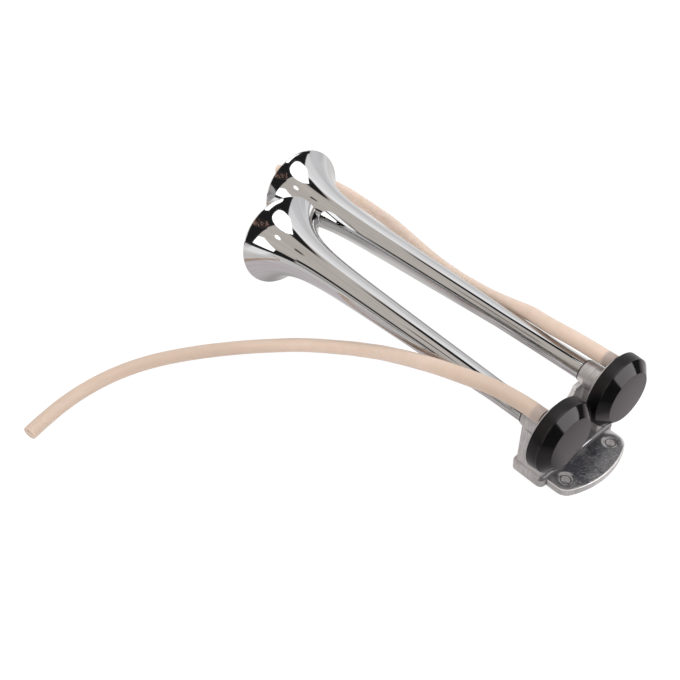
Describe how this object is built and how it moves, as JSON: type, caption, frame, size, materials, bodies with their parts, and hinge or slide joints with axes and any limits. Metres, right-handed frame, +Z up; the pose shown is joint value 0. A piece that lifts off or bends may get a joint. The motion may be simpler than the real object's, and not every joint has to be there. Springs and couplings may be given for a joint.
{
  "type": "twin trumpet air horn",
  "caption": "Air horn with a short and a long chromed trumpet side by side on a cast base, black-capped sound chambers behind and soft air hoses.",
  "frame": {"origin": "on the underside of the foot, midway between the two mounting holes", "axes": "+Y from the black caps towards the bells, +X towards the long trumpet, +Z up from the mounting surface"},
  "size_m": [0.3428, 0.4287, 0.0795],
  "materials": {
    "cast_zinc": "tumbled and lightly polished casting, scratched on top",
    "chrome": "mirror polished plating",
    "black_gloss": "gloss black",
    "brass": "turned",
    "nickel_plate": "turned and nickel plated",
    "seal_rubber": "matt",
    "spring_steel": "rolled strip",
    "ring_plastic": "moulded",
    "clear_hose": "smooth soft hose, yellowed and slightly see-through"
  },
  "bodies": {
    "horn": {"base_casting": "cast_zinc", "short_trumpet": "chrome", "long_trumpet": "chrome", "short_trumpet_washer": "seal_rubber", "long_trumpet_washer": "seal_rubber", "short_nozzle": "brass", "long_nozzle": "brass", "short_gasket": "seal_rubber", "long_gasket": "seal_rubber", "short_clamp_ring": "ring_plastic", "long_clamp_ring": "ring_plastic", "short_cap_o_ring": "seal_rubber", "long_cap_o_ring": "seal_rubber", "short_cap": "black_gloss", "long_cap": "black_gloss", "short_hose_nipple": "nickel_plate", "long_hose_nipple": "nickel_plate", "short_hose": "clear_hose", "long_hose": "clear_hose"},
    "short_membrane": {"short_diaphragm": "spring_steel"},
    "long_membrane": {"long_diaphragm": "spring_steel"}
  },
  "joints": [
    {"name": "short_diaphragm_stroke", "type": "slide", "parent": "horn", "child": "short_membrane", "axis": [0, -1, 0], "range_m": [0, 0.0004], "stiffness_N_per_m": 2000},
    {"name": "long_diaphragm_stroke", "type": "slide", "parent": "horn", "child": "long_membrane", "axis": [0, -1, 0], "range_m": [0, 0.0004], "stiffness_N_per_m": 2000}
  ]
}
